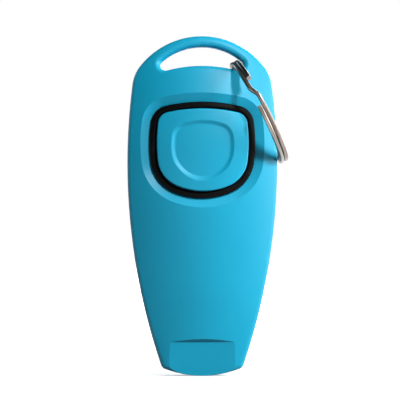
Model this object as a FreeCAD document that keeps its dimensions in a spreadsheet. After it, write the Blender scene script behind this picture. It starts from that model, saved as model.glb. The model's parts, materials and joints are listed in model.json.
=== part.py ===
"""Clicker and whistle for dog training: a two-shell pebble with a big button, a reed-like steel tongue
behind it, a pealess whistle in the mouthpiece and a split ring in the lanyard eye.

Millimetres. Sub-parts are drawn in the body's own frame: z = 0 at the tip of the mouthpiece, z up
towards the loop, y = 0 on the parting plane, -y to the front, where the button is. The finished pieces
are then lowered so that the origin lies at the centre of the lanyard eye, from which it all hangs.
"""
import FreeCAD, Part
import math
import os
import re
import Sketcher
from FreeCAD import Placement, Rotation, Vector

SIZES = (
    ("body_length", 84.0, "tip of the mouthpiece to the top of the loop"),
    ("body_width", 37.0, "across the widest place"),
    ("widest_height", "=body_length - 31.5", "height of the widest place"),
    ("side_radius", "=154 * (widest_height / 52.5) ^ 2", "outline of each side"),
    ("arch_radius", "=19.6 * body_width / 37", "outline of the top"),
    ("tip_radius", 27.0, "outline of the mouthpiece's end"),
    ("tip_corner", 1.6, "corners of the mouthpiece's end"),
    ("shoulder_blend", "=9 * body_width / 37", "blend from each side into the arch"),
    ("waist_height", "=body_length - 32", "height of the thickest place"),
    ("front_depth", 8.5, "parting plane to the front at the thickest place"),
    ("rear_depth", 7.0, "parting plane to the back at the thickest place"),
    ("front_lower_radius", "=314 * (waist_height / 52) ^ 2", "side view, front, below the waist"),
    ("front_upper_radius", 78.0, "side view, front, above the waist"),
    ("rear_lower_radius", "=450 * (waist_height / 52) ^ 2", "side view, back, below the waist"),
    ("rear_upper_radius", 98.0, "side view, back, above the waist"),
    ("front_crown", "=38 * (body_width / 37) ^ 2", "crown across the front"),
    ("rear_crown", "=60 * (body_width / 37) ^ 2", "crown across the back"),
    ("rear_flat", 0.5, "depth shaved off the back's crest to make the rest face"),
    ("wall", 1.6, "shell wall"),
    ("edge_round", 1.4, "rounding of the shells' outer edge"),
    ("seam_width", 0.12, "half of the parting line's groove"),
    ("seam_depth", 0.25, "depth of the parting line's groove"),
    ("cavity_floor", 16.0, "height where the wide cavity begins"),
    ("cavity_top", "=body_length - 11.4", "height where the cavity ends below the eye"),
    ("strap_width", 2.75, "loop's width at the top"),
    ("eye_top_radius", "=15.1 * body_width / 37", "upper edge of the eye"),
    ("eye_sill_radius", "=34.4 * body_width / 37", "lower edge of the eye"),
    ("eye_sill_height", "=body_length - 7.5", "top of the eye's lower edge"),
    ("eye_tip_radius", 1.3, "ends of the eye"),
    ("eye_round", 1.2, "rounding of the eye's rims"),
    ("bite_width", 16.3, "bite flat across the mouthpiece"),
    ("bite_height", 8.4, "bite flat's upper end"),
    ("bite_step", 1.5, "height of the shoulder above the bite flat"),
    ("bite_tip_depth", 3.3, "parting plane to the bite flat at the tip"),
    ("bite_top_depth", 4.6, "parting plane to the front bite flat at its upper end"),
    ("bite_rear_depth", 4.3, "parting plane to the rear bite flat at its upper end"),
    ("button_height", "=body_length - 28.3", "height of the button's centre"),
    ("opening_half_width", 13.03, "half width of the button's opening"),
    ("opening_rise", 11.9, "centre to the top of the opening"),
    ("opening_drop", 11.9, "centre to the bottom of the opening"),
    ("ring_width", 1.75, "black collar as seen from the front"),
    ("button_gap", 0.15, "button in its collar"),
    ("collar_fit", 0.04, "collar in the shell's opening"),
    ("dish_margin", 2.2, "width of the dished surround"),
    ("dish_depth", 1.3, "depth of the dished surround"),
    ("bezel_wall", 1.3, "shell behind the dish"),
    ("collar_sink", 0.35, "collar's face below the front's surface"),
    ("collar_round", 0.5, "rounding of the collar's face"),
    ("button_proud", 0.6, "button's face above the front's surface"),
    ("flange_width", 1.4, "collar's flange behind the shell"),
    ("flange_thickness", 0.85, "thickness of the collar's and button's flanges"),
    ("button_skin", 1.5, "thickness of the button's face"),
    ("skirt_wall", 1.2, "wall of the button's skirt"),
    ("stop_width", 1.3, "button's flange behind the collar"),
    ("thumb_half_width", 7.83, "half width of the thumb recess"),
    ("thumb_rise", 7.4, "button's centre to the top of the recess"),
    ("thumb_drop", 7.6, "button's centre to the bottom of the recess"),
    ("thumb_depth", 0.55, "depth of the recess"),
    ("thumb_wall", 1.15, "width of the recess's soft wall"),
    ("button_round", 0.4, "rounding of the button's rim"),
    ("button_travel", 1.8, "full press"),
    ("stop_gap", 0.1, "play between the button's flange and the collar at rest"),
    ("plunger_radius", 2.6, "post in the button"),
    ("plunger_nose", 1.5, "round end of the post"),
    ("plunger_gap", 0.15, "post to tongue at rest"),
    ("press_fit", 0.02, "pressed and dropped-in pieces, each side"),
    ("tongue_front", 0.6, "front face of the tongue, ahead of the parting plane"),
    ("tongue_thickness", 0.4, "spring steel"),
    ("tongue_half_width", 5.5, "half width of the tongue"),
    ("tongue_low", "=button_height - 9.2", "free end of the tongue"),
    ("tongue_high", "=button_height + 15.6", "held end of the tongue"),
    ("tongue_pivot", "=button_height + 14.5", "height about which the tongue bends"),
    ("peg_radius", 0.6, "peg that keeps the tongue in place"),
    ("dimple_radius", 3.2, "dimple in the tongue"),
    ("dimple_rise", 0.5, "height of the dimple"),
    ("seat_gap", 0.1, "tongue to its seat"),
    ("clamp_gap", 0.2, "tongue to its clamp"),
    ("clamp_front", 1.7, "front of the clamp, ahead of the parting plane"),
    ("clamp_low", "=button_height + 13.5", "lower edge of the clamp"),
    ("frame_half_width", 9.6, "half width of the tray"),
    ("frame_low", "=button_height - 11.1", "lower edge of the tray"),
    ("frame_top", "=button_height + 16.5", "upper edge of the tray and its clamp"),
    ("frame_front", 2.2, "front of the tray's rails, behind the parting plane"),
    ("frame_back", 4.2, "back of the tray"),
    ("frame_floor", 1.0, "tray's floor, which the tongue strikes"),
    ("rail_inside", 6.1, "half width between the tray's rails"),
    ("tower_low", "=button_height + 11.1", "lower edge of the tongue's seat"),
    ("boss_radius", 2.1, "screw bosses"),
    ("post_radius", 1.7, "posts behind the tray"),
    ("rib_width", 1.2, "ribs that hold the whistle"),
    ("screw_radius", 1.1, "self-tapping case screws"),
    ("screw_head", 1.9, "head radius of the case screws"),
    ("head_height", 1.4, "head height of the case screws"),
    ("head_sink", 0.35, "heads below the back's surface"),
    ("pilot_cover", 1.9, "front surface to the blind end of a case screw's pilot"),
    ("tip_gap", 0.3, "case screw's tip to the end of its pilot"),
    ("screw_point", 0.8, "length of a screw's point"),
    ("small_screw", 0.8, "screws of the tray and the clamp"),
    ("small_head", 1.45, "head radius of the small screws"),
    ("small_head_height", 0.75, "head height of the small screws"),
    ("frame_screw_length", 2.9, "tray screws under the head"),
    ("clamp_screw_length", 4.4, "clamp screws under the head"),
    ("lower_screw_x", 11.2, "lower case screws from the middle"),
    ("lower_screw_z", 33.0, "height of the lower case screws"),
    ("upper_screw_x", 12.4, "upper case screws from the middle"),
    ("upper_screw_z", "=body_length - 13.6", "height of the upper case screws"),
    ("whistle_half_width", 7.2, "half width of the whistle's block"),
    ("whistle_low", 2.9, "lower end of the whistle's block"),
    ("whistle_top", "=button_height - 13.1", "upper end of the whistle's block"),
    ("block_depth", 1.9, "half thickness of the windway block"),
    ("chamber_low", 15.6, "end of the windway, start of the window"),
    ("chamber_front", 3.9, "front of the chamber's block"),
    ("chamber_back", 3.4, "back of the chamber's block"),
    ("chamber_wall", 1.2, "walls of the chamber"),
    ("chamber_half_width", 5.8, "half width of the chamber"),
    ("windway_half_width", 4.4, "half width of the windway and the window"),
    ("windway_front", 0.3, "windway's floor, behind the parting plane"),
    ("edge_height", 20.5, "height of the whistle's sharp edge"),
    ("edge_depth", 0.9, "sharp edge behind the parting plane"),
    ("lid_thickness", 1.2, "chamber's lid"),
    ("plug_length", 3.0, "plug in the chamber's end"),
    ("fit_gap", 0.05, "pieces that sit against each other"),
    ("wire_radial", 1.5, "ring's flat wire, across"),
    ("wire_axial", 1.05, "ring's flat wire, one turn"),
    ("wire_round", 0.4, "corners of the wire"),
    ("turn_gap", 0.04, "between the ring's two turns"),
    ("ring_outside", "=25 + 2 * wire_radial", "ring's outer diameter"),
    ("step_start", 62.0, "degrees from the eye where the wire steps to its second turn"),
    ("step_end", 76.0, "degrees from the eye where the step ends"),
    ("first_turn", 337.0, "degrees round the first turn"),
    ("second_turn", 335.0, "degrees round the second turn"),
    ("ring_hang", 27.0, "degrees from straight down to where the ring rests"),
    ("ring_lean", 2.5, "degrees that the ring leans about its hanging line"),
    ("ring_play", 0.34, "ring's wire to the end of the eye"),
)

doc = FreeCAD.newDocument("clicker_trainer")
sheet = doc.addObject("Spreadsheet::Sheet", "Sizes")
for row, (alias, value, note) in enumerate(SIZES, 1):
    sheet.set(f"A{row}", note)
    sheet.set(f"B{row}", str(value))
    sheet.setAlias(f"B{row}", alias)
doc.recompute()

ALIASES = re.compile(r"\b(" + "|".join(alias for alias, _, _ in SIZES) + r")\b")
NODES = []


def formula(words):
    """A spreadsheet formula written with bare aliases, made into one that any object can be bound to."""
    return ALIASES.sub(r"Sizes.\1", str(words))


def size(words):
    """What a formula comes to now."""
    return float(sheet.evalExpression(formula(words)))


def bind(thing, **formulas):
    for name, words in formulas.items():
        thing.setExpression(name.replace("__", "."), formula(words))
    return thing


def block(name, x0, x1, y0, y1, z0, z1):
    """A box between six formulas."""
    box = doc.addObject("Part::Box", name)
    bind(box, Length=f"({x1}) - ({x0})", Width=f"({y1}) - ({y0})", Height=f"({z1}) - ({z0})")
    return bind(box, Placement__Base__x=x0, Placement__Base__y=y0, Placement__Base__z=z0)


def rod(name, radius, x, z, y0, y1):
    """A cylinder that runs front to back from y0 to y1."""
    cylinder = doc.addObject("Part::Cylinder", name)
    cylinder.Placement = Placement(Vector(), Rotation(Vector(1, 0, 0), -90))
    bind(cylinder, Radius=radius, Height=f"({y1}) - ({y0})")
    return bind(cylinder, Placement__Base__x=x, Placement__Base__y=y0, Placement__Base__z=z)


def fuse(name, *shapes):
    whole = doc.addObject("Part::MultiFuse", name)
    whole.Shapes = list(shapes)
    return whole


def common(name, *shapes):
    shared = doc.addObject("Part::MultiCommon", name)
    shared.Shapes = list(shapes)
    return shared


def cut(name, base, *tools):
    rest = doc.addObject("Part::Cut", name)
    rest.Base = base
    rest.Tool = tools[0] if len(tools) == 1 else fuse(name + "_tools", *tools)
    return rest


def node(label, shape):
    """Names a finished piece and lowers it into the hanging frame."""
    shape.Label = label
    bind(shape, Placement__Base__z=f"-({EYE_HEIGHT})")
    NODES.append(shape)
    return shape


EYE_HEIGHT = "(eye_sill_height + body_length - strap_width) / 2"


# ---------------------------------------------------------------- outlines made of tangent arcs

def meet(circle, other, high):
    """Where two circles (x, z, r) cross on the right: the higher or the lower crossing."""
    (x0, z0, r0), (x1, z1, r1) = circle, other
    span = math.hypot(x1 - x0, z1 - z0)
    along = (r0 * r0 - r1 * r1 + span * span) / (2 * span)
    across = math.sqrt(r0 * r0 - along * along)
    ux, uz = (x1 - x0) / span, (z1 - z0) / span
    points = [
        (x0 + along * ux - sign * across * uz, z0 + along * uz + sign * across * ux) for sign in (1, -1)
    ]
    right = [p for p in points if p[0] > 0] or [max(points)]
    return (max if high else min)(right, key=lambda p: p[1])


def arc_sketch(name, circles, points):
    """Closed outline in the x-z plane: circles[i] runs anticlockwise from points[i] to points[i + 1]."""
    sketch = doc.addObject("Sketcher::SketchObject", name)
    sketch.Placement = Placement(Vector(), Rotation(Vector(1, 0, 0), 90))
    for i, (x, z, r) in enumerate(circles):
        (ax, az), (bx, bz) = points[i], points[(i + 1) % len(points)]
        start, end = math.atan2(az - z, ax - x), math.atan2(bz - z, bx - x)
        if r < 0:
            start, end = end, start
        while end <= start:
            end += 2 * math.pi
        circle = Part.Circle(Vector(x, z, 0), Vector(0, 0, 1), abs(r))
        sketch.addGeometry(Part.ArcOfCircle(circle, start, end))
    count = len(circles)
    for i in range(count):
        after = (i + 1) % count
        ends = (2 if circles[i][2] > 0 else 1, 1 if circles[after][2] > 0 else 2)
        sketch.addConstraint(Sketcher.Constraint("Coincident", i, ends[0], after, ends[1]))
    return sketch


def prism(name, sketch, y0, y1):
    """The outline carried front to back from y0 to y1."""
    solid = doc.addObject("Part::Extrusion", name)
    solid.Base = sketch
    solid.DirMode = "Custom"
    solid.Dir = Vector(0, 1, 0)
    solid.Solid = True
    bind(solid, LengthFwd=y1, LengthRev=f"-({y0})")
    return solid


def body_outline(name, inset):
    """Silhouette of the whole body, moved inwards by inset: arch, sides and mouthpiece end."""
    less = size(inset)
    arch = (0.0, size("body_length - arch_radius"), size("arch_radius") - less)
    tip = (0.0, size("tip_radius"), size("tip_radius") - less)
    right = (size("body_width / 2 - side_radius"), size("widest_height"), size("side_radius") - less)
    left = (-right[0], right[1], right[2])
    upper, lower = meet(arch, right, True), meet(tip, right, False)
    mirror = lambda p: (-p[0], p[1])
    sketch = arc_sketch(name, (right, arch, left, tip), (lower, upper, mirror(upper), mirror(lower)))
    for i, words in enumerate(("side_radius", "arch_radius", "side_radius", "tip_radius")):
        at = sketch.addConstraint(Sketcher.Constraint("Radius", i, abs((right, arch, left, tip)[i][2])))
        sketch.setExpression(f"Constraints[{at}]", formula(f"{words} - ({inset})"))
    return sketch


def shield_arcs(half_width, rise, drop, radii, outset):
    """Rounded shield about the button's centre. radii: top, upper corner, side, lower corner, bottom."""
    more = size(outset)
    middle = size("button_height")
    top, corner, side, low_corner, bottom = radii
    width, up, down = size(half_width), size(rise), size(drop)
    bulge = middle + 0.15 * up
    circles = {
        "top": (0.0, middle + up - top, top),
        "side": (width - side, bulge, side),
        "bottom": (0.0, middle - down + bottom, bottom),
    }

    def nest(one, other, radius, high):
        (x0, z0, r0), (x1, z1, r1) = circles[one], circles[other]
        x, z = meet((x0, z0, abs(r0 - radius)), (x1, z1, abs(r1 - radius)), high)
        return (x, z, radius)

    def touch(circle, inner):
        """Where a circle touches one nested in it, on the far side from the big circle's centre."""
        big, small = (circle, inner) if circle[2] > inner[2] else (inner, circle)
        dx, dz = small[0] - big[0], small[1] - big[1]
        span = math.hypot(dx, dz)
        return (big[0] + dx / span * (big[2] + more), big[1] + dz / span * (big[2] + more))

    high = nest("top", "side", corner, True)
    low = nest("side", "bottom", low_corner, False)
    p = [touch(circles["bottom"], low), touch(circles["side"], low)]
    p += [touch(circles["side"], high), touch(circles["top"], high)]
    flip = lambda c: (-c[0],) + tuple(c[1:])
    chain = [low, circles["side"], high, circles["top"], flip(high), flip(circles["side"]), flip(low)]
    chain.append(circles["bottom"])
    grown = [(x, z, r + more) for x, z, r in chain]
    return grown, p + [flip(q) for q in reversed(p)]


OPENING = ("opening_half_width", "opening_rise", "opening_drop", (42.0, 4.6, 40.0, 9.5, 18.0))
THUMB = ("thumb_half_width", "thumb_rise", "thumb_drop", (16.0, 4.0, 14.0, 8.0, 4.0))
FRONT, REAR = "-16", "16"


def opening(name, outset, y0=FRONT, y1="0"):
    """Solid column of the button's opening, grown by outset."""
    return prism(name, arc_sketch(name + "_outline", *shield_arcs(*OPENING, outset)), y0, y1)


def front_at(x, z, inset):
    """How far the front's crowned surface, moved inwards by inset, stands ahead of the parting plane."""
    part = "upper" if z > size("waist_height") else "lower"
    radius, crown = size(f"front_{part}_radius"), size("front_crown")
    reach = radius - crown + math.sqrt((crown - inset) ** 2 - x * x)
    return size("front_depth") - radius + math.sqrt(reach * reach - (z - size("waist_height")) ** 2)


def shield_wire(form, outset, depth):
    """A shield outline grown by outset and laid on the front, depth below it, or flat where depth is None."""
    circles, points = shield_arcs(*form, str(outset))
    places = []
    for i, (x, z, r) in enumerate(circles):
        (ax, az), (bx, bz) = points[i], points[(i + 1) % len(points)]
        start, end = math.atan2(az - z, ax - x), math.atan2(bz - z, bx - x)
        while end <= start:
            end += 2 * math.pi
        for share in (0.0, 1 / 6, 2 / 6, 3 / 6, 4 / 6, 5 / 6):
            angle = start + share * (end - start)
            places.append((x + r * math.cos(angle), z + r * math.sin(angle)))
    curve = Part.BSplineCurve()
    if depth is None:
        curve.interpolate(Points=[Vector(x, 0, z) for x, z in places], PeriodicFlag=True)
    else:
        curve.interpolate(Points=[Vector(x, -front_at(x, z, depth), z) for x, z in places], PeriodicFlag=True)
    return Part.Wire(curve.toShape())


def sunk(name, form, steps):
    """All in front of a wall that slopes in round a shield outline. steps: outset and depth, outside first."""
    before = shield_wire(form, steps[0][0], None)
    before.translate(Vector(0, size(FRONT), 0))
    behind = shield_wire(form, steps[-1][0], None)
    slope = [shield_wire(form, outset, depth) for outset, depth in steps]
    tool = doc.addObject("Part::Feature", name)
    tool.Shape = Part.makeLoft([before, *slope, behind], True, True)
    return tool


def on_front(edge, inset):
    """Whether an edge lies on the front's crowned surface moved inwards by inset."""
    middle = edge.valueAt((edge.FirstParameter + edge.LastParameter) / 2)
    return abs(-middle.y - front_at(middle.x, middle.z, size(inset))) < 0.02


# ---------------------------------------------------------------- crowned surfaces

def slab(name, side, inset):
    """All that lies within the crowned front or back surface, moved inwards by inset.

    One cross-section at the waist is turned about two far axes: a flat curve down to the mouthpiece and
    a tighter one up to the loop, so that the two halves share a tangent at the waist.
    """
    way = -1 if side == "front" else 1
    crown = size(f"{side}_crown - ({inset})")
    centre = way * size(f"{side}_depth - {side}_crown")
    reach = 26.0
    dip = math.sqrt(crown * crown - reach * reach)
    edge = centre + way * dip
    past = -way * 3.0
    sketch = doc.addObject("Sketcher::SketchObject", name + "_section")
    turn = 0 if way > 0 else math.pi
    half = math.asin(reach / crown)
    middle = math.pi / 2 + turn
    circle = Part.Circle(Vector(0, centre, 0), Vector(0, 0, 1), crown)
    arc = Part.ArcOfCircle(circle, middle - half, middle + half)
    right, left = (reach, edge), (-reach, edge)
    ends = (right, left) if way > 0 else (left, right)
    sketch.addGeometry(arc)
    corners = [ends[1], (ends[1][0], past), (ends[0][0], past), ends[0]]
    for a, b in zip(corners, corners[1:]):
        sketch.addGeometry(Part.LineSegment(Vector(*a, 0), Vector(*b, 0)))
    for i in range(4):
        sketch.addConstraint(Sketcher.Constraint("Coincident", i, 2, (i + 1) % 4, 1))
    at = sketch.addConstraint(Sketcher.Constraint("Radius", 0, crown))
    sketch.setExpression(f"Constraints[{at}]", formula(f"{side}_crown - ({inset})"))
    bind(sketch, Placement__Base__z="waist_height")
    halves = []
    for part, sign, sweep in (("lower", -way, 12.5), ("upper", way, 25.0)):
        turned = doc.addObject("Part::Revolution", f"{name}_{part}")
        turned.Source = sketch
        turned.Axis = Vector(sign, 0, 0)
        turned.Angle = sweep
        turned.Solid = True
        axis_y = f"{way} * ({side}_depth - {side}_{part}_radius)"
        turned.Base = Vector(0, size(axis_y), size("waist_height"))
        bind(turned, Base__y=axis_y, Base__z="waist_height")
        halves.append(turned)
    return fuse(name, *halves)


def half_form(name, side, inset):
    """The front or back half of the body, solid, moved inwards by inset."""
    y0, y1 = ("-16", "0") if side == "front" else ("0", "16")
    outline = prism(name + "_prism", body_outline(name + "_outline", inset), y0, y1)
    return common(name, outline, slab(name + "_slab", side, inset))


def rounded(name, base, radius, wanted):
    """Rounds the edges of base that wanted(edge) picks."""
    doc.recompute()
    fillet = doc.addObject("Part::Fillet", name)
    fillet.Base = base
    value = size(radius)
    picked = [i for i, edge in enumerate(base.Shape.Edges, 1) if wanted(edge)]
    fillet.Edges = [(i, value, value) for i in picked]
    return fillet


def is_corner(edge, low, high):
    """A straight front-to-back edge of a prism, between two heights."""
    box = edge.BoundBox
    return box.XLength < 0.01 and box.ZLength < 0.01 and low < box.ZMin < high


def outer_form(side):
    """Half of the body with its corners, outer edge, bite flat and rest face made."""
    way = "-1" if side == "front" else "1"
    plain = half_form(f"{side}_plain", side, "0")
    corners = rounded(f"{side}_corners", plain, "tip_corner", lambda e: is_corner(e, -1, 6))
    blended = rounded(
        f"{side}_shoulders", corners, "shoulder_blend",
        lambda e: is_corner(e, size("widest_height"), size("body_length")),
    )
    rim = rounded(
        f"{side}_rim", blended, "edge_round",
        lambda e: e.BoundBox.YLength > 0.001 and e.BoundBox.ZLength + e.BoundBox.XLength > 0.5
        and not touches_parting(e) and not crosses_middle(e),
    )
    top = "bite_top_depth" if side == "front" else "bite_rear_depth"
    tools = [bite_tool(side, top)]
    if side == "rear":
        tools.append(block("rest_tool", "-30", "30", "rear_depth - rear_flat", REAR, "0", "body_length"))
    return cut(f"{side}_outer", rim, *tools)


def touches_parting(edge):
    return abs(edge.BoundBox.YMin) < 0.01 or abs(edge.BoundBox.YMax) < 0.01


def crosses_middle(edge):
    """The seam across the crown at the waist."""
    return edge.BoundBox.ZLength < 0.01 and edge.BoundBox.XLength > 10


def wedge(name, points, x0, x1):
    """A solid whose side view is a polygon of (y, z) formulas, from x0 to x1."""
    sketch = doc.addObject("Sketcher::SketchObject", name + "_side")
    sketch.Placement = Placement(Vector(), Rotation(Vector(1, 1, 1), 120))
    places = [Vector(size(y), size(z), 0) for y, z in points]
    for a, b in zip(places, places[1:] + places[:1]):
        sketch.addGeometry(Part.LineSegment(a, b))
    for i in range(len(places)):
        sketch.addConstraint(Sketcher.Constraint("Coincident", i, 2, (i + 1) % len(places), 1))
    solid = doc.addObject("Part::Extrusion", name)
    solid.Base = sketch
    solid.DirMode = "Custom"
    solid.Dir = Vector(1, 0, 0)
    solid.Solid = True
    return bind(solid, LengthFwd=x1, LengthRev=f"-({x0})")


def bite_tool(side, top):
    """What the bite flat takes off: a slanted slice with a sloping shoulder above it."""
    way = "-1" if side == "front" else "1"
    points = (
        (f"{way} * bite_tip_depth", "0"),
        (f"{way} * {top}", "bite_height"),
        (f"{way} * ({top} + 1.2 * bite_step)", "bite_height + bite_step"),
        (f"{way} * 12", "bite_height + bite_step"),
        (f"{way} * 12", "-1"),
        (f"{way} * (bite_tip_depth - 0.15)", "-1"),
    )
    return wedge(f"{side}_bite", points, "-bite_width / 2", "bite_width / 2")


def cavity(side):
    """Space inside one shell above the mouthpiece."""
    inner = half_form(f"{side}_inner", side, "wall")
    room = block(f"{side}_room", "-30", "30", "-16", "16", "cavity_floor", "cavity_top")
    return common(f"{side}_cavity", inner, room)


def eye_column(name, grow):
    """The lanyard eye, front to back: a crescent between two arcs with round ends."""
    more = size(grow)
    top = (0.0, size("body_length - strap_width - eye_top_radius"), size("eye_top_radius") + more)
    sill = (0.0, size("eye_sill_height - eye_sill_radius"), size("eye_sill_radius") - more)
    tip = size("eye_tip_radius") + more
    x, z = meet((0.0, top[1], top[2] - tip), (0.0, sill[1], sill[2] + tip), True)
    high = (x * top[2] / (top[2] - tip), top[1] + (z - top[1]) * top[2] / (top[2] - tip))
    low = (x * sill[2] / (sill[2] + tip), sill[1] + (z - sill[1]) * sill[2] / (sill[2] + tip))
    flip = lambda p: (-p[0], p[1])
    circles = ((x, z, tip), top, (-x, z, tip), (0.0, sill[1], -sill[2]))
    sketch = arc_sketch(name + "_outline", circles, (low, high, flip(high), flip(low)))
    return prism(name, sketch, FRONT, REAR)


def with_eye(side, outer):
    """The lanyard eye cut through a shell, with the rim of its outer face rounded."""
    pierced = cut(f"{side}_pierced", outer, eye_column(f"{side}_eye", "0"))
    low, high = size("eye_sill_height") - 2.5, size("body_length - strap_width") + 0.2

    def on_rim(edge):
        box = edge.BoundBox
        inside = low < box.ZMin and box.ZMax < high and box.XLength + box.ZLength > 0.1
        narrow = max(abs(box.XMin), abs(box.XMax)) < size("arch_radius") * 0.62
        return inside and narrow and not touches_parting(edge)

    return rounded(f"{side}_eye_rim", pierced, "eye_round", on_rim)


def eye_play(clear):
    """Centre of a circle of radius clear that just fits in the right end of the eye."""
    top = size("body_length - strap_width - eye_top_radius")
    sill = size("eye_sill_height - eye_sill_radius")
    upper = (0.0, top, size("eye_top_radius") - clear)
    lower = (0.0, sill, size("eye_sill_radius") + clear)
    return meet(upper, lower, True)


def seam_groove(side):
    """The fine groove along the parting line."""
    y0, y1 = ("-seam_width", "0") if side == "front" else ("0", "seam_width")
    whole = block(f"{side}_seam_block", "-30", "30", y0, y1, "-5", "body_length + 5")
    kept = prism(f"{side}_seam_kept", body_outline(f"{side}_seam_outline", "seam_depth"), y0, y1)
    return cut(f"{side}_seam", whole, kept)


def mouth_pocket(side):
    """Pocket for the windway block in the mouthpiece."""
    y0, y1 = ("-(block_depth + fit_gap)", "0") if side == "front" else ("0", "block_depth + fit_gap")
    wide = "whistle_half_width + fit_gap"
    return block(f"{side}_pocket", f"-({wide})", wide, y0, y1, "whistle_low - fit_gap", "cavity_floor + 1")


def pairs(name, make, x):
    """The same thing made on the right and on the left."""
    return [make(f"{name}_right", x), make(f"{name}_left", f"-({x})")]


CASE_SCREWS = (("lower", "lower_screw_x", "lower_screw_z"), ("upper", "upper_screw_x", "upper_screw_z"))


def surface_depth(side, x, z, inset="0"):
    """Formula of the crowned surface's distance from the parting plane at (x, z)."""
    high = size(z) > size("waist_height")
    radius = f"{side}_{'upper' if high else 'lower'}_radius"
    drop_z = f"({radius} - sqrt({radius}^2 - (({z}) - waist_height)^2))"
    drop_x = f"({side}_crown - sqrt({side}_crown^2 - ({x})^2))"
    return f"({side}_depth - {drop_z} - {drop_x} - ({inset}))"


def head_floor(x, z):
    """Where a case screw's head seats, behind the parting plane."""
    return f"({surface_depth('rear', x, z)} - head_sink - head_height - 0.25)"


def pilot_end(x, z):
    """Where a case screw's pilot ends, ahead of the parting plane."""
    return surface_depth("front", x, z, "pilot_cover")


# ---------------------------------------------------------------- front shell

front_form = with_eye("front", outer_form("front"))
front_hollow = cut("front_hollow", front_form, cavity("front"), mouth_pocket("front"))
bezel = common(
    "bezel",
    opening("bezel_column", "dish_margin + bezel_wall"),
    cut(
        "bezel_slab", slab("bezel_face", "front", "dish_depth / 2"),
        slab("bezel_back", "front", "dish_depth + bezel_wall"),
    ),
)
DISH_LIP = 0.6
dish_slope = size("dish_depth / dish_margin")
dish = sunk("dish", OPENING, (
    (size("dish_margin") + DISH_LIP, -DISH_LIP * dish_slope),
    (-DISH_LIP, size("dish_depth") + DISH_LIP * dish_slope),
))
front_bosses = []
front_pilots = []
for place, x, z in CASE_SCREWS:
    deep = surface_depth("front", x, z, "wall / 2")
    front_bosses += pairs(
        f"{place}_front_boss", lambda name, at: rod(name, "boss_radius", at, z, f"-{deep}", "0"), x
    )
    front_pilots += pairs(
        f"{place}_pilot",
        lambda name, at: rod(name, "screw_radius + press_fit", at, z, f"-{pilot_end(x, z)}", "1"), x,
    )
front_ribs = [
    block(
        f"front_rib_{i}", "-whistle_half_width + 1", "whistle_half_width - 1",
        f"-{surface_depth('front', '6', z, 'wall / 2')}", "-(chamber_front + fit_gap)",
        f"{z} - rib_width / 2", f"{z} + rib_width / 2",
    )
    for i, z in enumerate(("(cavity_floor + 5)", "(whistle_top - 5)"))
]
front_room = half_form("front_room", "front", "wall / 2")
front_inside = common("front_inside", fuse("front_fittings", *front_bosses, *front_ribs), front_room)
front_parts = fuse("front_parts", front_hollow, bezel, front_inside)
front_shell = node("front_shell", cut(
    "front_shell", front_parts, dish, opening("front_opening", "0"), seam_groove("front"), *front_pilots,
))

# ---------------------------------------------------------------- rear shell

mouth_slot = block(
    "mouth_slot", "-windway_half_width", "windway_half_width",
    "windway_front", "block_depth", "-2", "whistle_low",
)
window = wedge(
    "window",
    (
        ("windway_front", "chamber_low"),
        ("edge_depth", "edge_height"),
        ("edge_depth + 9", "edge_height + 9"),
        ("edge_depth + 9", "chamber_low - 2.4"),
        ("block_depth", "chamber_low"),
    ),
    "-windway_half_width - 0.2", "windway_half_width + 0.2",
)
rear_form = with_eye("rear", outer_form("rear"))
rear_hollow = cut("rear_hollow", rear_form, cavity("rear"), mouth_pocket("rear"))
rear_bosses = []
rear_holes = []
for place, x, z in CASE_SCREWS:
    floor = head_floor(x, z)
    deep = surface_depth("rear", x, z, "wall / 2")
    rear_bosses += pairs(
        f"{place}_rear_boss", lambda name, at: rod(name, "boss_radius + 0.5", at, z, "0", deep), x
    )
    rear_holes += pairs(
        f"{place}_head_hole", lambda name, at: rod(name, "screw_head + 0.15", at, z, floor, REAR), x
    )
    rear_holes += pairs(
        f"{place}_shank_hole", lambda name, at: rod(name, "screw_radius + 0.15", at, z, "-1", floor), x
    )
FRAME_SCREW_X = "(frame_half_width - 1.75)"
FRAME_SCREWS = (("low", "(frame_low + 5)"), ("high", "(tower_low - 4)"))
frame_posts = []
frame_pilots = []
for place, z in FRAME_SCREWS:
    deep = surface_depth("rear", FRAME_SCREW_X, z, "wall / 2")
    frame_posts += pairs(
        f"{place}_post",
        lambda name, at: rod(name, "post_radius", at, z, "frame_back + fit_gap", deep), FRAME_SCREW_X,
    )
    pilot = "frame_front + frame_screw_length + tip_gap"
    frame_pilots += pairs(
        f"{place}_post_pilot",
        lambda name, at: rod(name, "small_screw + press_fit", at, z, "0", pilot), FRAME_SCREW_X,
    )
rear_rib = block(
    "rear_rib", "-whistle_half_width + 1", "whistle_half_width - 1", "chamber_back + fit_gap",
    surface_depth("rear", "6", "(whistle_top - 5)", "wall / 2"),
    "whistle_top - 5 - rib_width / 2", "whistle_top - 5 + rib_width / 2",
)
rear_room = half_form("rear_room", "rear", "wall / 2")
rear_inside = common("rear_inside", fuse("rear_fittings", *rear_bosses, *frame_posts, rear_rib), rear_room)
rear_parts = fuse("rear_parts", rear_hollow, rear_inside)
rear_shell = node("rear_shell", cut(
    "rear_shell", rear_parts, window, mouth_slot, seam_groove("rear"),
    *rear_holes, *frame_pilots,
))

# ---------------------------------------------------------------- button, collar and plunger

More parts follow.
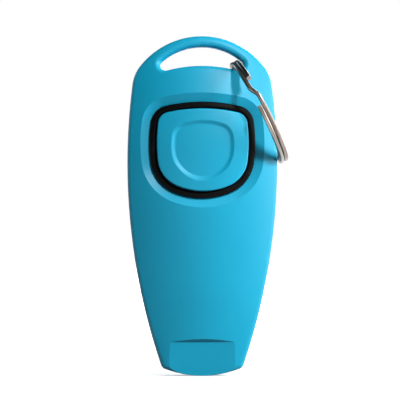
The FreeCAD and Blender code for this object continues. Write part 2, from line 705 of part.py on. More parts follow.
FLANGE_FRONT = "dish_depth + bezel_wall + fit_gap"
FLANGE_BACK = f"{FLANGE_FRONT} + flange_thickness"
collar_body = common(
    "collar_body",
    opening("collar_column", "-collar_fit"),
    cut(
        "collar_slab", slab("collar_face", "front", "collar_sink"),
        slab("collar_back", "front", FLANGE_BACK),
    ),
)
collar_flange = common(
    "collar_flange",
    opening("flange_column", "flange_width"),
    cut(
        "flange_slab", slab("flange_face", "front", FLANGE_FRONT),
        slab("flange_back", "front", FLANGE_BACK),
    ),
)
collar_whole = fuse("collar_whole", collar_body, collar_flange)
collar_bored = cut("collar_bored", collar_whole, opening("collar_bore", "button_gap - ring_width"))
button_collar = node("button_collar", rounded(
    "button_collar", collar_bored, "collar_round", lambda edge: on_front(edge, "collar_sink"),
))

STOP = f"{FLANGE_BACK} + stop_gap"
PLUNGER_TOP = f"({surface_depth('front', '0', 'button_height', 'button_skin - button_proud')} - 0.5)"
SKIRT = f"{STOP} + flange_thickness"
button_column = common(
    "button_column", opening("cap_column", "-ring_width"),
    cut("cap_slab", slab("cap_face", "front", "-button_proud"), slab("cap_back", "front", SKIRT)),
)
button_flange = common(
    "button_flange", opening("stop_column", "stop_width - ring_width"),
    cut("stop_slab", slab("stop_face", "front", STOP), slab("stop_back", "front", SKIRT)),
)
button_hollow = common(
    "button_hollow", opening("hollow_column", "-ring_width - skirt_wall"),
    slab("hollow_face", "front", "button_skin - button_proud"),
)
THUMB_WALL = ((-0.19, -0.11), (0.16, 0.09), (0.38, 0.36), (0.62, 0.69), (0.84, 0.91), (1.19, 1.09))
thumb_slope = sunk("thumb_slope", THUMB, [
    (-inwards * size("thumb_wall"), down * size("thumb_depth") - size("button_proud"))
    for inwards, down in THUMB_WALL
])
thumb = cut("thumb", thumb_slope, slab("thumb_floor", "front", "thumb_depth - button_proud"))
socket = rod("socket", "plunger_radius + 1.2", "0", "button_height", f"-{PLUNGER_TOP} - 0.8", "-3.4")
socket_bore = rod("socket_bore", "plunger_radius + press_fit", "0", "button_height", f"-{PLUNGER_TOP}", "1")
button_shell = cut("button_shell", fuse("button_whole", button_column, button_flange), button_hollow)
button_socket = fuse("button_socket", button_shell, socket)
button_rimmed = rounded(
    "button_rimmed", button_socket, "button_round", lambda edge: on_front(edge, "-button_proud")
)
click_button = node("click_button", cut("click_button", button_rimmed, socket_bore, thumb))

NOSE_CENTRE = "(tongue_front + plunger_gap + plunger_nose)"
plunger_rod = rod(
    "plunger_rod", "plunger_radius", "0", "button_height", f"-({PLUNGER_TOP} - press_fit)", "-3"
)
plunger_neck = rod("plunger_neck", "plunger_nose", "0", "button_height", "-3.2", f"-{NOSE_CENTRE}")
plunger_tip = doc.addObject("Part::Sphere", "plunger_tip")
bind(plunger_tip, Radius="plunger_nose")
bind(plunger_tip, Placement__Base__y=f"-{NOSE_CENTRE}", Placement__Base__z="button_height")
button_plunger = node("button_plunger", fuse("button_plunger", plunger_rod, plunger_neck, plunger_tip))


# ---------------------------------------------------------------- tongue, clamp and tray

def origin_plane(body, role):
    return next(plane for plane in body.Origin.OriginFeatures if plane.Role == role)


def upright_sketch(body, name, y):
    """A sketch of the front view on the body's own XZ plane, moved to y; its pads run to the front."""
    sketch = body.newObject("Sketcher::SketchObject", name)
    sketch.AttachmentSupport = (origin_plane(body, "XZ_Plane"), [""])
    sketch.MapMode = "FlatFace"
    sketch.setExpression("AttachmentOffset.Base.z", formula(f"-({y})"))
    return sketch


def rectangle(sketch, half_width, low, high):
    """A rectangle about the vertical axis, bound to its width and its two heights."""
    w, a, b = size(half_width), size(low), size(high)
    first = sketch.GeometryCount
    corners = [Vector(-w, a, 0), Vector(w, a, 0), Vector(w, b, 0), Vector(-w, b, 0)]
    for p, q in zip(corners, corners[1:] + corners[:1]):
        sketch.addGeometry(Part.LineSegment(p, q))
    for i in range(4):
        sketch.addConstraint(Sketcher.Constraint("Coincident", first + i, 2, first + (i + 1) % 4, 1))
    for i, kind in ((1, "Vertical"), (2, "Horizontal"), (3, "Vertical")):
        sketch.addConstraint(Sketcher.Constraint(kind, first + i))
    sketch.addConstraint(Sketcher.Constraint("Symmetric", first, 1, first, 2, -2))
    for kind, args, words, value in (
        ("DistanceX", (first, 1, first, 2), f"2 * ({half_width})", 2 * w),
        ("DistanceY", (-1, 1, first, 1), low, a),
        ("DistanceY", (first + 1, 1, first + 1, 2), f"({high}) - ({low})", b - a),
    ):
        at = sketch.addConstraint(Sketcher.Constraint(kind, *args, value))
        sketch.setExpression(f"Constraints[{at}]", formula(words))
    return first


def round_hole(sketch, x, z, radius):
    """A circle bound to its place and radius."""
    at_x, at_z, r = size(x), size(z), size(radius)
    geo = sketch.addGeometry(Part.Circle(Vector(at_x, at_z, 0), Vector(0, 0, 1), r))
    wanted = [("Radius", (geo,), radius, r), ("DistanceY", (-1, 1, geo, 3), z, at_z)]
    if at_x:
        ends = (-1, 1, geo, 3) if at_x > 0 else (geo, 3, -1, 1)
        wanted.append(("DistanceX", ends, f"abs({x})", abs(at_x)))
    else:
        sketch.addConstraint(Sketcher.Constraint("PointOnObject", geo, 3, -2))
    for kind, args, words, value in wanted:
        at = sketch.addConstraint(Sketcher.Constraint(kind, *args, value))
        sketch.setExpression(f"Constraints[{at}]", formula(words))


def feature(body, kind, name, sketch, length):
    """A pad or a pocket of a body; both run to the front from the sketch."""
    made = body.newObject(f"PartDesign::{kind}", name)
    made.Profile = sketch
    made.setExpression("Length", formula(length))
    made.Reversed = kind == "Pocket"
    body.Tip = made
    return made


tongue = doc.addObject("PartDesign::Body", "tongue_body")
strip = upright_sketch(tongue, "tongue_strip", "tongue_thickness - tongue_front")
rectangle(strip, "tongue_half_width", "tongue_low", "tongue_high")
round_hole(strip, "0", "tongue_pivot", "peg_radius + 0.15")
tongue_pad = feature(tongue, "Pad", "tongue_pad", strip, "tongue_thickness")
doc.recompute()
tongue_corners = tongue.newObject("PartDesign::Fillet", "tongue_corners")
tongue_corners.Base = (tongue_pad, [
    f"Edge{i}" for i, e in enumerate(tongue_pad.Shape.Edges, 1)
    if e.BoundBox.XLength < 0.01 and e.BoundBox.ZLength < 0.01 and len(e.Vertexes) == 2
    and abs(abs(e.BoundBox.XMin) - size("tongue_half_width")) < 0.01
])
tongue_corners.Radius = 1.2
tongue.Tip = tongue_corners
DIMPLE_HEIGHT = "(button_height - 5)"


def dimple_cone(name, shrink, y, rise):
    """A blunt cone that stands on the tongue, its wide end at y, pointing to the front."""
    cone = doc.addObject("Part::Cone", name)
    cone.Placement = Placement(Vector(), Rotation(Vector(1, 0, 0), 90))
    bind(cone, Radius1=f"dimple_radius - ({shrink})", Radius2=f"0.6 * dimple_radius - ({shrink})")
    bind(cone, Height=rise)
    return bind(cone, Placement__Base__y=y, Placement__Base__z=DIMPLE_HEIGHT)


bump = dimple_cone("dimple_bump", "0", "0.1 - tongue_front", "dimple_rise + 0.1")
hollow = dimple_cone("dimple_hollow", "0.3", "0.1 + tongue_thickness - tongue_front", "dimple_rise + 0.1")
click_tongue = node("click_tongue", cut("click_tongue", fuse("tongue_bumped", tongue, bump), hollow))

clamp = doc.addObject("PartDesign::Body", "clamp_body")
clamp_face = upright_sketch(clamp, "clamp_face", "-fit_gap")
rectangle(clamp_face, "frame_half_width", "clamp_low", "frame_top")
CLAMP_SCREW = ("frame_half_width - 1.8", "(clamp_low + frame_top) / 2")
for sign in ("", "-"):
    round_hole(clamp_face, f"{sign}({CLAMP_SCREW[0]})", CLAMP_SCREW[1], "small_screw + 0.1")
feature(clamp, "Pad", "clamp_pad", clamp_face, "clamp_front - fit_gap")
channel = upright_sketch(clamp, "clamp_channel", "-fit_gap")
rectangle(channel, "tongue_half_width + 0.3", "clamp_low - 1", "frame_top + 1")
feature(clamp, "Pocket", "clamp_cut", channel, "tongue_front + clamp_gap - fit_gap")
tongue_clamp = node("tongue_clamp", clamp)

tray = doc.addObject("PartDesign::Body", "tray_body")
tray_face = upright_sketch(tray, "tray_face", "frame_back")
rectangle(tray_face, "frame_half_width", "frame_low", "frame_top")
feature(tray, "Pad", "tray_pad", tray_face, "frame_back - frame_front")
tray_well = upright_sketch(tray, "tray_well", "frame_back - frame_floor")
rectangle(tray_well, "rail_inside", "frame_low + 1.2", "tower_low")
feature(tray, "Pocket", "tray_cut", tray_well, "frame_back")
tower = upright_sketch(tray, "tower", "frame_back")
rectangle(tower, "frame_half_width", "tower_low", "frame_top")
feature(tray, "Pad", "tower_pad", tower, "frame_back")
relief = upright_sketch(tray, "tower_relief", "1.4")
rectangle(relief, "tongue_half_width + 0.3", "tower_low - 1", "tongue_pivot - 0.5")
feature(tray, "Pocket", "relief_cut", relief, "2")
tray_room = half_form("tray_room", "rear", "wall + fit_gap")
tray_holes = []
for place, z in FRAME_SCREWS:
    tray_holes += pairs(
        f"{place}_tray_hole", lambda name, at: rod(name, "small_screw + 0.1", at, z, "0", "9"), FRAME_SCREW_X
    )
tower_pilots = pairs(
    "tower_pilot",
    lambda name, at: rod(
        name, "small_screw + press_fit", at, CLAMP_SCREW[1],
        "-1", "clamp_screw_length - clamp_front + press_fit",
    ),
    CLAMP_SCREW[0],
)
tray_solid = cut("tray_drilled", common("tray_fitted", tray, tray_room), *tray_holes, *tower_pilots)
peg = rod("tongue_peg", "peg_radius", "0", "tongue_pivot", "-(tongue_front + 0.1)", "1")
seat = block(
    "seat_level", "-(tongue_half_width + 0.3)", "tongue_half_width + 0.3", "-1",
    "tongue_thickness - tongue_front + seat_gap", "tongue_pivot - 1", "frame_top + 1",
)
mechanism_frame = node("mechanism_frame", fuse("tray_whole", cut("tray_seated", tray_solid, seat), peg))


# ---------------------------------------------------------------- screws

def screw(name, x, z, seat_y, way, radius, head, height, length):
    """A pan-head self-tapping screw with a cross recess; way is +1 where the head looks to the back."""
    y0, y1 = (seat_y, f"{seat_y} + {height}") if way > 0 else (f"{seat_y} - {height}", seat_y)
    shaft = f"({length} - screw_point)"
    shank_y = (f"{seat_y} - {shaft}", seat_y) if way > 0 else (seat_y, f"{seat_y} + {shaft}")
    top = rod(name + "_head", head, x, z, y0, y1)
    shank = rod(name + "_shank", radius, x, z, *shank_y)
    point = doc.addObject("Part::Cone", name + "_point")
    point.Placement = Placement(Vector(), Rotation(Vector(1, 0, 0), 90 * way))
    bind(point, Radius1=radius, Radius2=f"{radius} * 0.35", Height="screw_point", Placement__Base__x=x)
    bind(point, Placement__Base__y=shank_y[0] if way > 0 else shank_y[1], Placement__Base__z=z)
    solid = fuse(name + "_blank", top, shank, point)
    face = y1 if way > 0 else y0
    recess = f"0.6 * {height}"
    recess_y = (f"{face} - {recess}", f"{face} + 1") if way > 0 else (f"{face} - 1", f"{face} + {recess}")
    arm, half = f"{head} * 0.62", f"{head} * 0.14"
    slots = [
        block(
            f"{name}_slot_{i}", f"({x}) - {wide}", f"({x}) + {wide}", *recess_y,
            f"({z}) - {tall}", f"({z}) + {tall}",
        )
        for i, (wide, tall) in enumerate(((arm, half), (half, arm)))
    ]
    whole = cut(name + "_slotted", solid, *slots)
    doc.recompute()
    rims = doc.addObject("Part::Fillet", name)
    rims.Base = whole
    level = size(face)
    rims.Edges = [
        (i, size(height) * 0.35, size(height) * 0.35) for i, e in enumerate(whole.Shape.Edges, 1)
        if abs(e.BoundBox.YMin - level) < 0.01 and abs(e.BoundBox.YMax - level) < 0.01
        and e.BoundBox.XLength > 2 * size(head) - 0.05
    ]
    return rims


def group(label, screws):
    """Like screws that share one node, as separate solids."""
    pack = doc.addObject("Part::Compound", label)
    pack.Links = list(screws)
    return node(label, pack)


CASE = ("screw_radius", "screw_head", "head_height")
SMALL = ("small_screw", "small_head", "small_head_height")
for place, x, z in CASE_SCREWS:
    floor = head_floor(x, z)
    length = f"({floor} + {pilot_end(x, z)} - tip_gap)"
    group(
        f"{place}_case_screws",
        pairs(f"{place}_screw", lambda name, at: screw(name, at, z, floor, 1, *CASE, length), x),
    )
tray_screws = []
for place, z in FRAME_SCREWS:
    tray_screws += pairs(
        f"{place}_tray_screw",
        lambda name, at: screw(name, at, z, "frame_front", -1, *SMALL, "frame_screw_length"), FRAME_SCREW_X,
    )
group("frame_screws", tray_screws)
group("tongue_screws", pairs(
    "tongue_screw",
    lambda name, at: screw(
        name, at, CLAMP_SCREW[1], "(-clamp_front)", -1, *SMALL, "clamp_screw_length"
    ),
    CLAMP_SCREW[0],
))

# ---------------------------------------------------------------- whistle

half = "whistle_half_width"
windway_block = block(
    "windway_block", f"-{half}", half, "-block_depth", "block_depth", "whistle_low", "cavity_floor + 1"
)
chamber_block = block(
    "chamber_block", f"-{half}", half, "-chamber_front", "chamber_back", "cavity_floor + 0.3", "whistle_top"
)
windway = block(
    "windway", "-windway_half_width", "windway_half_width", "windway_front", REAR,
    "whistle_low - 1", "chamber_low + 0.1",
)
mouth_of_chamber = block(
    "mouth_of_chamber", "-windway_half_width", "windway_half_width", "-(block_depth - 0.8)", REAR,
    "chamber_low", "edge_height",
)
chamber = block(
    "chamber", "-chamber_half_width", "chamber_half_width", "-(chamber_front - chamber_wall)", REAR,
    "cavity_floor + 1.8", "whistle_top + 1",
)
whistle_body = node("whistle_body", cut(
    "whistle_body", fuse("whistle_blank", windway_block, chamber_block), windway, mouth_of_chamber, chamber,
))
lid_points = (
    ("edge_depth", "edge_height"),
    ("chamber_back", "edge_height + chamber_back - edge_depth"),
    ("chamber_back", "whistle_top"),
    ("chamber_back - lid_thickness", "whistle_top"),
    ("chamber_back - lid_thickness", "edge_height + chamber_back - edge_depth - 0.2"),
)
whistle_lid = node("whistle_lid", wedge(
    "whistle_lid", lid_points, "-(chamber_half_width - press_fit)", "chamber_half_width - press_fit",
))
plug_block = block(
    "plug_block", "-(chamber_half_width - press_fit)", "chamber_half_width - press_fit",
    "-(chamber_front - chamber_wall - press_fit)", "chamber_back - lid_thickness - press_fit",
    "whistle_top - plug_length", "whistle_top",
)
plug_grip = block(
    "plug_grip", "-1.5", "1.5", "-1", "0.5", "whistle_top - plug_length / 2", "whistle_top + 1"
)
chamber_plug = node("chamber_plug", cut("chamber_plug", plug_block, plug_grip))


# ---------------------------------------------------------------- split ring

def wire_section(radial, axial, corner):
    """Rounded rectangle about the origin in the x-y plane: x is radial, y is along the ring's axis."""
    a, b = radial / 2 - corner, axial / 2 - corner
    edges = []
    spots = ((a, b, 0), (-a, b, 90), (-a, -b, 180), (a, -b, 270))
    for (cx, cy, start), (nx, ny, following) in zip(spots, spots[1:] + spots[:1]):
        circle = Part.Circle(Vector(cx, cy, 0), Vector(0, 0, 1), corner)
        edges.append(Part.ArcOfCircle(circle, math.radians(start), math.radians(start + 90)).toShape())
        angle = math.radians(start + 90)
        p = Vector(cx + corner * math.cos(angle), cy + corner * math.sin(angle), 0)
        q = Vector(nx + corner * math.cos(angle), ny + corner * math.sin(angle), 0)
        edges.append(Part.LineSegment(p, q).toShape())
    return Part.Wire(edges)


def split_ring_shape():
    """Two flat turns and the step between them, made about the world z axis, hanging point at +x."""
    radial, axial = size("wire_radial"), size("wire_axial")
    radius = size("ring_outside / 2") - radial / 2
    pitch = axial + size("turn_gap")
    section = wire_section(radial, axial, size("wire_round"))

    def placed(angle, level):
        """The wire's section at an angle round the ring and a level along its axis."""
        at = section.copy()
        at.rotate(Vector(), Vector(1, 0, 0), 90)
        at.translate(Vector(radius, 0, level))
        at.rotate(Vector(), Vector(0, 0, 1), angle)
        return at

    step_start, step_end = size("step_start"), size("step_end")
    first_turn, second_turn = size("first_turn"), size("second_turn")
    first = Part.Face(placed(step_start, -pitch / 2)).revolve(Vector(), Vector(0, 0, 1), -first_turn)
    second = Part.Face(placed(step_end, pitch / 2)).revolve(Vector(), Vector(0, 0, 1), second_turn)
    count = 8
    rungs = []
    for i in range(count + 1):
        share = i / count
        eased = share * share * (3 - 2 * share)
        rungs.append(placed(step_start + share * (step_end - step_start), pitch * (eased - 0.5)))
    step = Part.makeLoft(rungs, True, False)
    return first.fuse([second, step]).removeSplitter()


def ring_frame():
    """Place and directions of the ring: hanging point, hanging direction, and towards the front."""
    clear = math.hypot(size("wire_radial / 2 - wire_round"), size("wire_axial + turn_gap / 2 - wire_round"))
    clear += size("wire_round") + size("ring_play")
    x, z = eye_play(clear)
    hang = math.radians(size("ring_hang"))
    lean = math.radians(size("ring_lean"))
    down = Vector(math.sin(hang), 0, -math.cos(hang))
    across = Vector(math.cos(hang), 0, math.sin(hang))
    front = Vector(0, -1, 0) * math.cos(lean) + across * math.sin(lean)
    return Vector(x, 0, z), down, front


pivot, down, front = ring_frame()
ring_radius = size("ring_outside / 2 - wire_radial / 2")
ring = doc.addObject("Part::Feature", "split_ring")
ring.Shape = split_ring_shape()
axis = (down * -1).cross(front)
turned = Rotation(down * -1, front, axis, "XYZ")
ring.Placement = Placement(pivot + down * ring_radius - Vector(0, 0, size(EYE_HEIGHT)), turned)
ring.Label = "split_ring"
NODES.append(ring)

# ---------------------------------------------------------------- check and write

doc.recompute()
broken = [thing.Name for thing in doc.Objects if "Invalid" in thing.State or "Error" in thing.State]
if broken:
    raise RuntimeError(f"these did not build: {broken}")
for piece in NODES:
    if piece.Shape.isNull() or not piece.Shape.isValid():
        raise RuntimeError(f"{piece.Label} is not a valid shape")
os.makedirs("parts", exist_ok=True)
for piece in NODES:
    piece.Shape.exportStep(f"parts/{piece.Label}.step")
print("pivot", pivot - Vector(0, 0, size(EYE_HEIGHT)), "axis", front, "eye height", size(EYE_HEIGHT))
for piece in NODES:
    box = piece.Shape.BoundBox
    print(f"{piece.Label:20s} solids {len(piece.Shape.Solids)} volume {piece.Shape.Volume:9.2f}  {box}")
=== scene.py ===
import json
import math

import bpy
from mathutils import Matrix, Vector


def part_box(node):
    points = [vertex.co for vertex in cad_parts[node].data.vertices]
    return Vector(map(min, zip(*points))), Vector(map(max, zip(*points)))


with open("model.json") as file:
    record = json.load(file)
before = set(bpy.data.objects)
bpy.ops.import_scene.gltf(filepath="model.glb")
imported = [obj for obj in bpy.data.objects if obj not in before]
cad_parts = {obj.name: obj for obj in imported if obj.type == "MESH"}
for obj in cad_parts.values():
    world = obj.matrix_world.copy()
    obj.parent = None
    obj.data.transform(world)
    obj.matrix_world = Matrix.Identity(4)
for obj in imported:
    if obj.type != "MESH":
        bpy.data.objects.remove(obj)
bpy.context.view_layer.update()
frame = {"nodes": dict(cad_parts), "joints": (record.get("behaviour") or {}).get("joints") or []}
parts = frame["nodes"]


# Camera. A long lens looks at the button side, level with the middle of the housing and a touch from
# the left, so the trainer stands upright and fills the height of a square picture.
shell_low, shell_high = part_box("front_shell")
aim_left, aim_up = 0.0005, 0.0014
shell_middle = (shell_low + shell_high) / 2
aim = Vector((shell_middle.x - aim_left, 0.0, shell_middle.z + aim_up))
camera_distance = 0.6
camera_turn = math.radians(1.4)
picture_width = 0.09926
lens = bpy.data.cameras.new("long_lens")
lens.sensor_width = 36.0
lens.lens = lens.sensor_width * camera_distance / picture_width
lens.clip_start = 0.05
camera = bpy.data.objects.new("camera", lens)
camera.location = aim + camera_distance * Vector((-math.sin(camera_turn), -math.cos(camera_turn), 0.0))
camera.rotation_mode = "QUATERNION"
camera.rotation_quaternion = (aim - camera.location).to_track_quat("-Z", "Y")
bpy.context.scene.collection.objects.link(camera)
bpy.context.scene.camera = camera


# Studio. White paper under the mouthpiece, a small soft box high on the right for the shadows, a broad
# one low on the right for the bright side, and weak boxes above, in front and behind.
bpy.context.scene.view_settings.view_transform = "Standard"


def soft_box(name, turn, rise, away, side, watts, tint=(1.0, 1.0, 1.0)):
    """A square area light that faces the housing: turn degrees round to the right, rise degrees up."""
    turn, rise = math.radians(turn), math.radians(rise)
    data = bpy.data.lights.new(name, "AREA")
    data.size = side
    data.energy = watts
    data.color = tint
    box = bpy.data.objects.new(name, data)
    flat = math.cos(rise)
    box.location = aim + away * Vector((math.sin(turn) * flat, -math.cos(turn) * flat, math.sin(rise)))
    box.rotation_mode = "QUATERNION"
    box.rotation_quaternion = (aim - box.location).to_track_quat("-Z", "Y")
    bpy.context.scene.collection.objects.link(box)


soft_box("key_box", 27, 36, 0.70, 0.09, 3.9, (1.0, 1.0, 0.97))
soft_box("side_box", 74, 13, 0.70, 0.45, 6.6, (1.0, 1.0, 0.97))
soft_box("top_box", 10, 68, 0.70, 0.40, 0.3)
soft_box("front_box", -10, 3, 0.95, 0.50, 0.6)
soft_box("back_box", 155, 20, 0.85, 0.50, 8.0)
soft_box("left_back_box", -132, 15, 0.85, 0.45, 1.5)

world = bpy.data.worlds.new("studio_walls")
world.use_nodes = True
walls = world.node_tree.nodes
wall_paint = walls["Background"]
wall_paint.inputs["Color"].default_value = (0.80, 0.92, 1.0, 1.0)
wall_paint.inputs["Strength"].default_value = 0.04
seen_wall = walls.new("ShaderNodeBackground")
seen_wall.inputs["Color"].default_value = (1.0, 1.0, 1.0, 1.0)
seen_wall.inputs["Strength"].default_value = 1.0
which_wall = walls.new("ShaderNodeMixShader")
ray = walls.new("ShaderNodeLightPath")
world.node_tree.links.new(ray.outputs["Is Camera Ray"], which_wall.inputs["Fac"])
world.node_tree.links.new(wall_paint.outputs["Background"], which_wall.inputs[1])
world.node_tree.links.new(seen_wall.outputs["Background"], which_wall.inputs[2])
world.node_tree.links.new(which_wall.outputs["Shader"], walls["World Output"].inputs["Surface"])
bpy.context.scene.world = world

paper_radius = 3.0
paper_sides = 64
paper_gap = 0.0001
paper_mesh = bpy.data.meshes.new("paper")
paper_rim = [
    (
        paper_radius * math.cos(math.tau * step / paper_sides),
        paper_radius * math.sin(math.tau * step / paper_sides),
        shell_low.z - paper_gap,
    )
    for step in range(paper_sides)
]
paper_mesh.from_pydata(paper_rim, [], [list(range(paper_sides))])
paper = bpy.data.objects.new("paper", paper_mesh)
bpy.context.scene.collection.objects.link(paper)
paper_white = bpy.data.materials.new("paper_white")
paper_white.use_nodes = True
paper_nodes = paper_white.node_tree.nodes
paper_shader = paper_nodes["Principled BSDF"]
paper_shader.inputs["Base Color"].default_value = (0.82, 0.82, 0.82, 1.0)
paper_shader.inputs["Roughness"].default_value = 0.9
paper_shader.inputs["Emission Color"].default_value = (1.0, 1.0, 1.0, 1.0)
# The paper glows so that it reads evenly white far out, and glows less within about 0.45 m of the
# housing's origin: this is painted shade round the housing's foot, added to the real shadows of the lamps.
from_middle = paper_nodes.new("ShaderNodeVectorMath")
from_middle.operation = "LENGTH"
paper_place = paper_nodes.new("ShaderNodeTexCoord")
paper_glow_and_painted_shade = paper_nodes.new("ShaderNodeMapRange")
paper_glow_and_painted_shade.interpolation_type = "SMOOTHSTEP"
paper_glow_and_painted_shade.inputs["From Min"].default_value = 0.05
paper_glow_and_painted_shade.inputs["From Max"].default_value = 0.45
paper_glow_and_painted_shade.inputs["To Min"].default_value = 0.42
paper_glow_and_painted_shade.inputs["To Max"].default_value = 1.0
paper_links = paper_white.node_tree.links
paper_links.new(paper_place.outputs["Object"], from_middle.inputs[0])
paper_links.new(from_middle.outputs["Value"], paper_glow_and_painted_shade.inputs["Value"])
paper_links.new(paper_glow_and_painted_shade.outputs["Result"], paper_shader.inputs["Emission Strength"])
paper_mesh.materials.append(paper_white)
paper.visible_diffuse = False


# Housing shells. Two injection-moulded ABS halves in turquoise, screwed together from the back; the
# mould was spark-eroded, so the skin is satin with a fine grain and its edges are a little rubbed.
class Skin:
    """A material made of nodes. Each step adds nodes and returns the socket that it ends in."""

    def __init__(self, name):
        self.material = bpy.data.materials.new(name)
        self.material.use_nodes = True
        self.tree = self.material.node_tree
        self.shader = self.tree.nodes["Principled BSDF"]
        self.place = self.add("ShaderNodeTexCoord").outputs["Object"]

    def add(self, kind, **values):
        """A node with its own settings, or the values of its sockets, given by name."""
        node = self.tree.nodes.new(kind)
        for name, value in values.items():
            if hasattr(node, name):
                setattr(node, name, value)
            else:
                node.inputs[name.replace("_", " ").title()].default_value = value
        return node

    def join(self, source, target):
        self.tree.links.new(source, target)

    def noise(self, place, scale, detail, roughness):
        node = self.add("ShaderNodeTexNoise", Scale=scale, Detail=detail, Roughness=roughness)
        self.join(place, node.inputs["Vector"])
        return node.outputs["Fac"]

    def spread(self, source, low, high, to_low, to_high):
        """The source's values from low to high, spread over to_low to to_high."""
        node = self.add("ShaderNodeMapRange", From_Min=low, From_Max=high, To_Min=to_low, To_Max=to_high)
        self.join(source, node.inputs["Value"])
        return node.outputs["Result"]

    def mix(self, share, one, other):
        """A colour between two, where the first may come from a socket."""
        node = self.add("ShaderNodeMix", data_type="RGBA")
        self.join(share, node.inputs["Factor"])
        if isinstance(one, tuple):
            node.inputs["A"].default_value = (*one, 1.0)
        else:
            self.join(one, node.inputs["A"])
        node.inputs["B"].default_value = (*other, 1.0)
        return node.outputs["Result"]

    def rub_edges(self, colour, rubbed, sharp, sharpest, wear):
        """The colour, turned towards the rubbed one on edges between two degrees of sharpness."""
        edge = self.add("ShaderNodeNewGeometry").outputs["Pointiness"]
        return self.mix(self.spread(edge, sharp, sharpest, 0.0, wear), colour, rubbed)

    def raise_grain(self, height, strength, depth):
        bump = self.add("ShaderNodeBump", Strength=strength, Distance=depth)
        self.join(height, bump.inputs["Height"])
        self.join(bump.outputs["Normal"], self.shader.inputs["Normal"])


def moulded_skin(name, colour, shade, roughness, grain_scale, grain_depth, wear, sheen=0.3):
    """Satin moulded plastic: spark-eroded grain, slow colour drift and rubbed edges."""
    skin = Skin(name)
    drift = skin.spread(skin.noise(skin.place, 70.0, 3.0, 0.5), 0.35, 0.75, 0.0, 1.0)
    rubbed = tuple(min(1.0, 1.25 * share + 0.02) for share in colour)
    worn = skin.rub_edges(skin.mix(drift, colour, shade), rubbed, 0.51, 0.62, wear)
    skin.join(worn, skin.shader.inputs["Base Color"])
    grain = skin.noise(skin.place, grain_scale, 4.0, 0.6)
    skin.raise_grain(grain, 0.25, grain_depth)
    gloss = skin.spread(grain, 0.0, 1.0, roughness - 0.05, roughness + 0.07)
    skin.join(gloss, skin.shader.inputs["Roughness"])
    skin.shader.inputs["Specular IOR Level"].default_value = sheen
    return skin.material


shell_plastic = moulded_skin(
    "turquoise_abs",
    colour=(0.003, 0.365, 0.585),
    shade=(0.002, 0.340, 0.555),
    roughness=0.42,
    grain_scale=5200.0,
    grain_depth=0.00004,
    wear=0.35,
)
for shell in ("front_shell", "rear_shell"):
    parts[shell].material_slots[0].material = shell_plastic


# Whistle. Block, lid and plug are small grey mouldings pressed into the mouthpiece; the flow lines of
# the melt run along them, and they are duller than the outside because nobody polishes their mould.
grey_plastic = moulded_skin(
    "grey_whistle_plastic",
    colour=(0.16, 0.17, 0.18),
    shade=(0.13, 0.14, 0.15),
    roughness=0.48,
    grain_scale=3800.0,
    grain_depth=0.00004,
    wear=0.3,
)
for piece in ("whistle_body", "whistle_lid", "chamber_plug"):
    parts[piece].material_slots[0].material = grey_plastic


# Click mechanism. The tray, the tongue's clamp and the button's post are black acetal, a slippery
# plastic with a waxy sheen; they drop onto posts of the rear shell and are screwed down.
black_acetal = moulded_skin(
    "black_acetal",
    colour=(0.016, 0.016, 0.018),
    shade=(0.022, 0.022, 0.024),
    roughness=0.36,
    grain_scale=4200.0,
    grain_depth=0.00003,
    wear=0.3,
    sheen=0.45,
)
for piece in ("mechanism_frame", "tongue_clamp", "button_plunger"):
    parts[piece].material_slots[0].material = black_acetal


# Click tongue. A strip of blued spring steel, cut from rolled sheet, so fine rolling lines run up it;
# the dimple is pressed in and shows brighter where the steel was stretched.
def worked_steel(name, bright, dull, roughness, grain_scale, stretch, grain_depth, wear):
    """Bare or plated steel: lines along the way it was worked, tarnish in patches, edges rubbed bright."""
    skin = Skin(name)
    skin.shader.inputs["Metallic"].default_value = 1.0
    tarnish = skin.spread(skin.noise(skin.place, 420.0, 4.0, 0.55), 0.38, 0.68, 0.0, 1.0)
    rubbed = tuple(min(1.0, 1.3 * share + 0.05) for share in bright)
    worn = skin.rub_edges(skin.mix(tarnish, bright, dull), rubbed, 0.52, 0.64, wear)
    skin.join(worn, skin.shader.inputs["Base Color"])
    along = skin.add("ShaderNodeMapping", Scale=stretch)
    skin.join(skin.place, along.inputs["Vector"])
    lines = skin.noise(along.outputs["Vector"], grain_scale, 3.0, 0.6)
    gloss = skin.spread(lines, 0.0, 1.0, roughness - 0.08, roughness + 0.10)
    skin.join(gloss, skin.shader.inputs["Roughness"])
    skin.raise_grain(lines, 0.3, grain_depth)
    return skin.material


parts["click_tongue"].material_slots[0].material = worked_steel(
    "blued_spring_steel",
    bright=(0.40, 0.41, 0.45),
    dull=(0.26, 0.28, 0.35),
    roughness=0.30,
    grain_scale=6000.0,
    stretch=(1.0, 1.0, 0.04),
    grain_depth=0.00002,
    wear=0.6,
)


# Screws. Zinc-plated steel pan-head screws: two hold the tray, two the clamp and four the case. The
# plating is a little cloudy and its edges are rubbed by the driver.
zinc_plate = worked_steel(
    "zinc_plated_screw",
    bright=(0.56, 0.57, 0.60),
    dull=(0.42, 0.43, 0.47),
    roughness=0.34,
    grain_scale=3600.0,
    stretch=(1.0, 0.3, 1.0),
    grain_depth=0.00002,
    wear=0.7,
)
for screws in ("frame_screws", "tongue_screws", "lower_case_screws", "upper_case_screws"):
    parts[screws].material_slots[0].material = zinc_plate


# Button collar. A matt black moulding that lines the opening and stands proud of the dish; its rounded
# face catches only a thin sheen.
parts["button_collar"].material_slots[0].material = moulded_skin(
    "black_collar_plastic",
    colour=(0.0025, 0.0022, 0.0028),
    shade=(0.004, 0.003, 0.003),
    roughness=0.40,
    grain_scale=5200.0,
    grain_depth=0.00003,
    wear=0.3,
    sheen=0.05,
)


# Click button. The same ABS as the shells from a finer mould, a little smoother where the thumb rubs it.
parts["click_button"].material_slots[0].material = moulded_skin(
    "turquoise_button",
    colour=(0.004, 0.370, 0.590),
    shade=(0.003, 0.345, 0.560),
    roughness=0.38,
    grain_scale=6000.0,
    grain_depth=0.00003,
    wear=0.35,
)


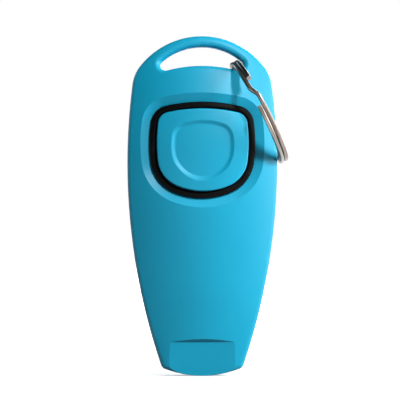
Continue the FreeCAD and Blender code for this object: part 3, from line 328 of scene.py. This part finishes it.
# Split ring. Flat spring wire wound twice and nickel plated: drawing lines run round it, the plating has
# gone warm and dull between them, and the wire's corners are rubbed bright.
def along_wire(skin):
    """Coordinates that follow the wire: away from the ring's axis, slowly round it, and along it."""
    low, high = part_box("split_ring")
    middle = (low + high) / 2
    swing = next(joint for joint in frame["joints"] if joint["name"] == "ring_swing")
    hang = (middle - Vector(swing["pos_m"])).normalized()
    axis = hang.cross(Vector(swing["axis"])).normalized()
    in_ring = skin.add("ShaderNodeMapping", vector_type="TEXTURE")
    in_ring.inputs["Location"].default_value = middle
    in_ring.inputs["Rotation"].default_value = axis.to_track_quat("Z", "Y").to_euler()
    skin.join(skin.place, in_ring.inputs["Vector"])
    apart = skin.add("ShaderNodeSeparateXYZ")
    skin.join(in_ring.outputs["Vector"], apart.inputs["Vector"])
    across, up, through = (apart.outputs[letter] for letter in "XYZ")
    in_plane = skin.add("ShaderNodeCombineXYZ")
    skin.join(across, in_plane.inputs["X"])
    skin.join(up, in_plane.inputs["Y"])
    from_axis = skin.add("ShaderNodeVectorMath", operation="LENGTH")
    skin.join(in_plane.outputs["Vector"], from_axis.inputs[0])
    angle = skin.add("ShaderNodeMath", operation="ARCTAN2")
    skin.join(up, angle.inputs[0])
    skin.join(across, angle.inputs[1])
    slowly = skin.add("ShaderNodeMath", operation="MULTIPLY")
    slowly.inputs[1].default_value = 0.0006
    skin.join(angle.outputs["Value"], slowly.inputs[0])
    wire = skin.add("ShaderNodeCombineXYZ")
    skin.join(from_axis.outputs["Value"], wire.inputs["X"])
    skin.join(slowly.outputs["Value"], wire.inputs["Y"])
    skin.join(through, wire.inputs["Z"])
    return wire.outputs["Vector"]


nickel = Skin("nickel_wire")
nickel.shader.inputs["Metallic"].default_value = 1.0
wire_place = along_wire(nickel)
drawing_lines = nickel.noise(wire_place, 9000.0, 2.0, 0.55)
warmth = nickel.spread(nickel.noise(wire_place, 2300.0, 1.0, 0.5), 0.42, 0.60, 0.0, 1.0)
plating = nickel.mix(warmth, (0.33, 0.30, 0.28), (0.15, 0.11, 0.09))
rubbed_nickel = nickel.rub_edges(plating, (0.46, 0.43, 0.41), 0.52, 0.66, 0.5)
nickel.join(rubbed_nickel, nickel.shader.inputs["Base Color"])
nickel.join(nickel.spread(drawing_lines, 0.0, 1.0, 0.22, 0.42), nickel.shader.inputs["Roughness"])
nickel.raise_grain(drawing_lines, 0.35, 0.00003)
parts["split_ring"].material_slots[0].material = nickel.material
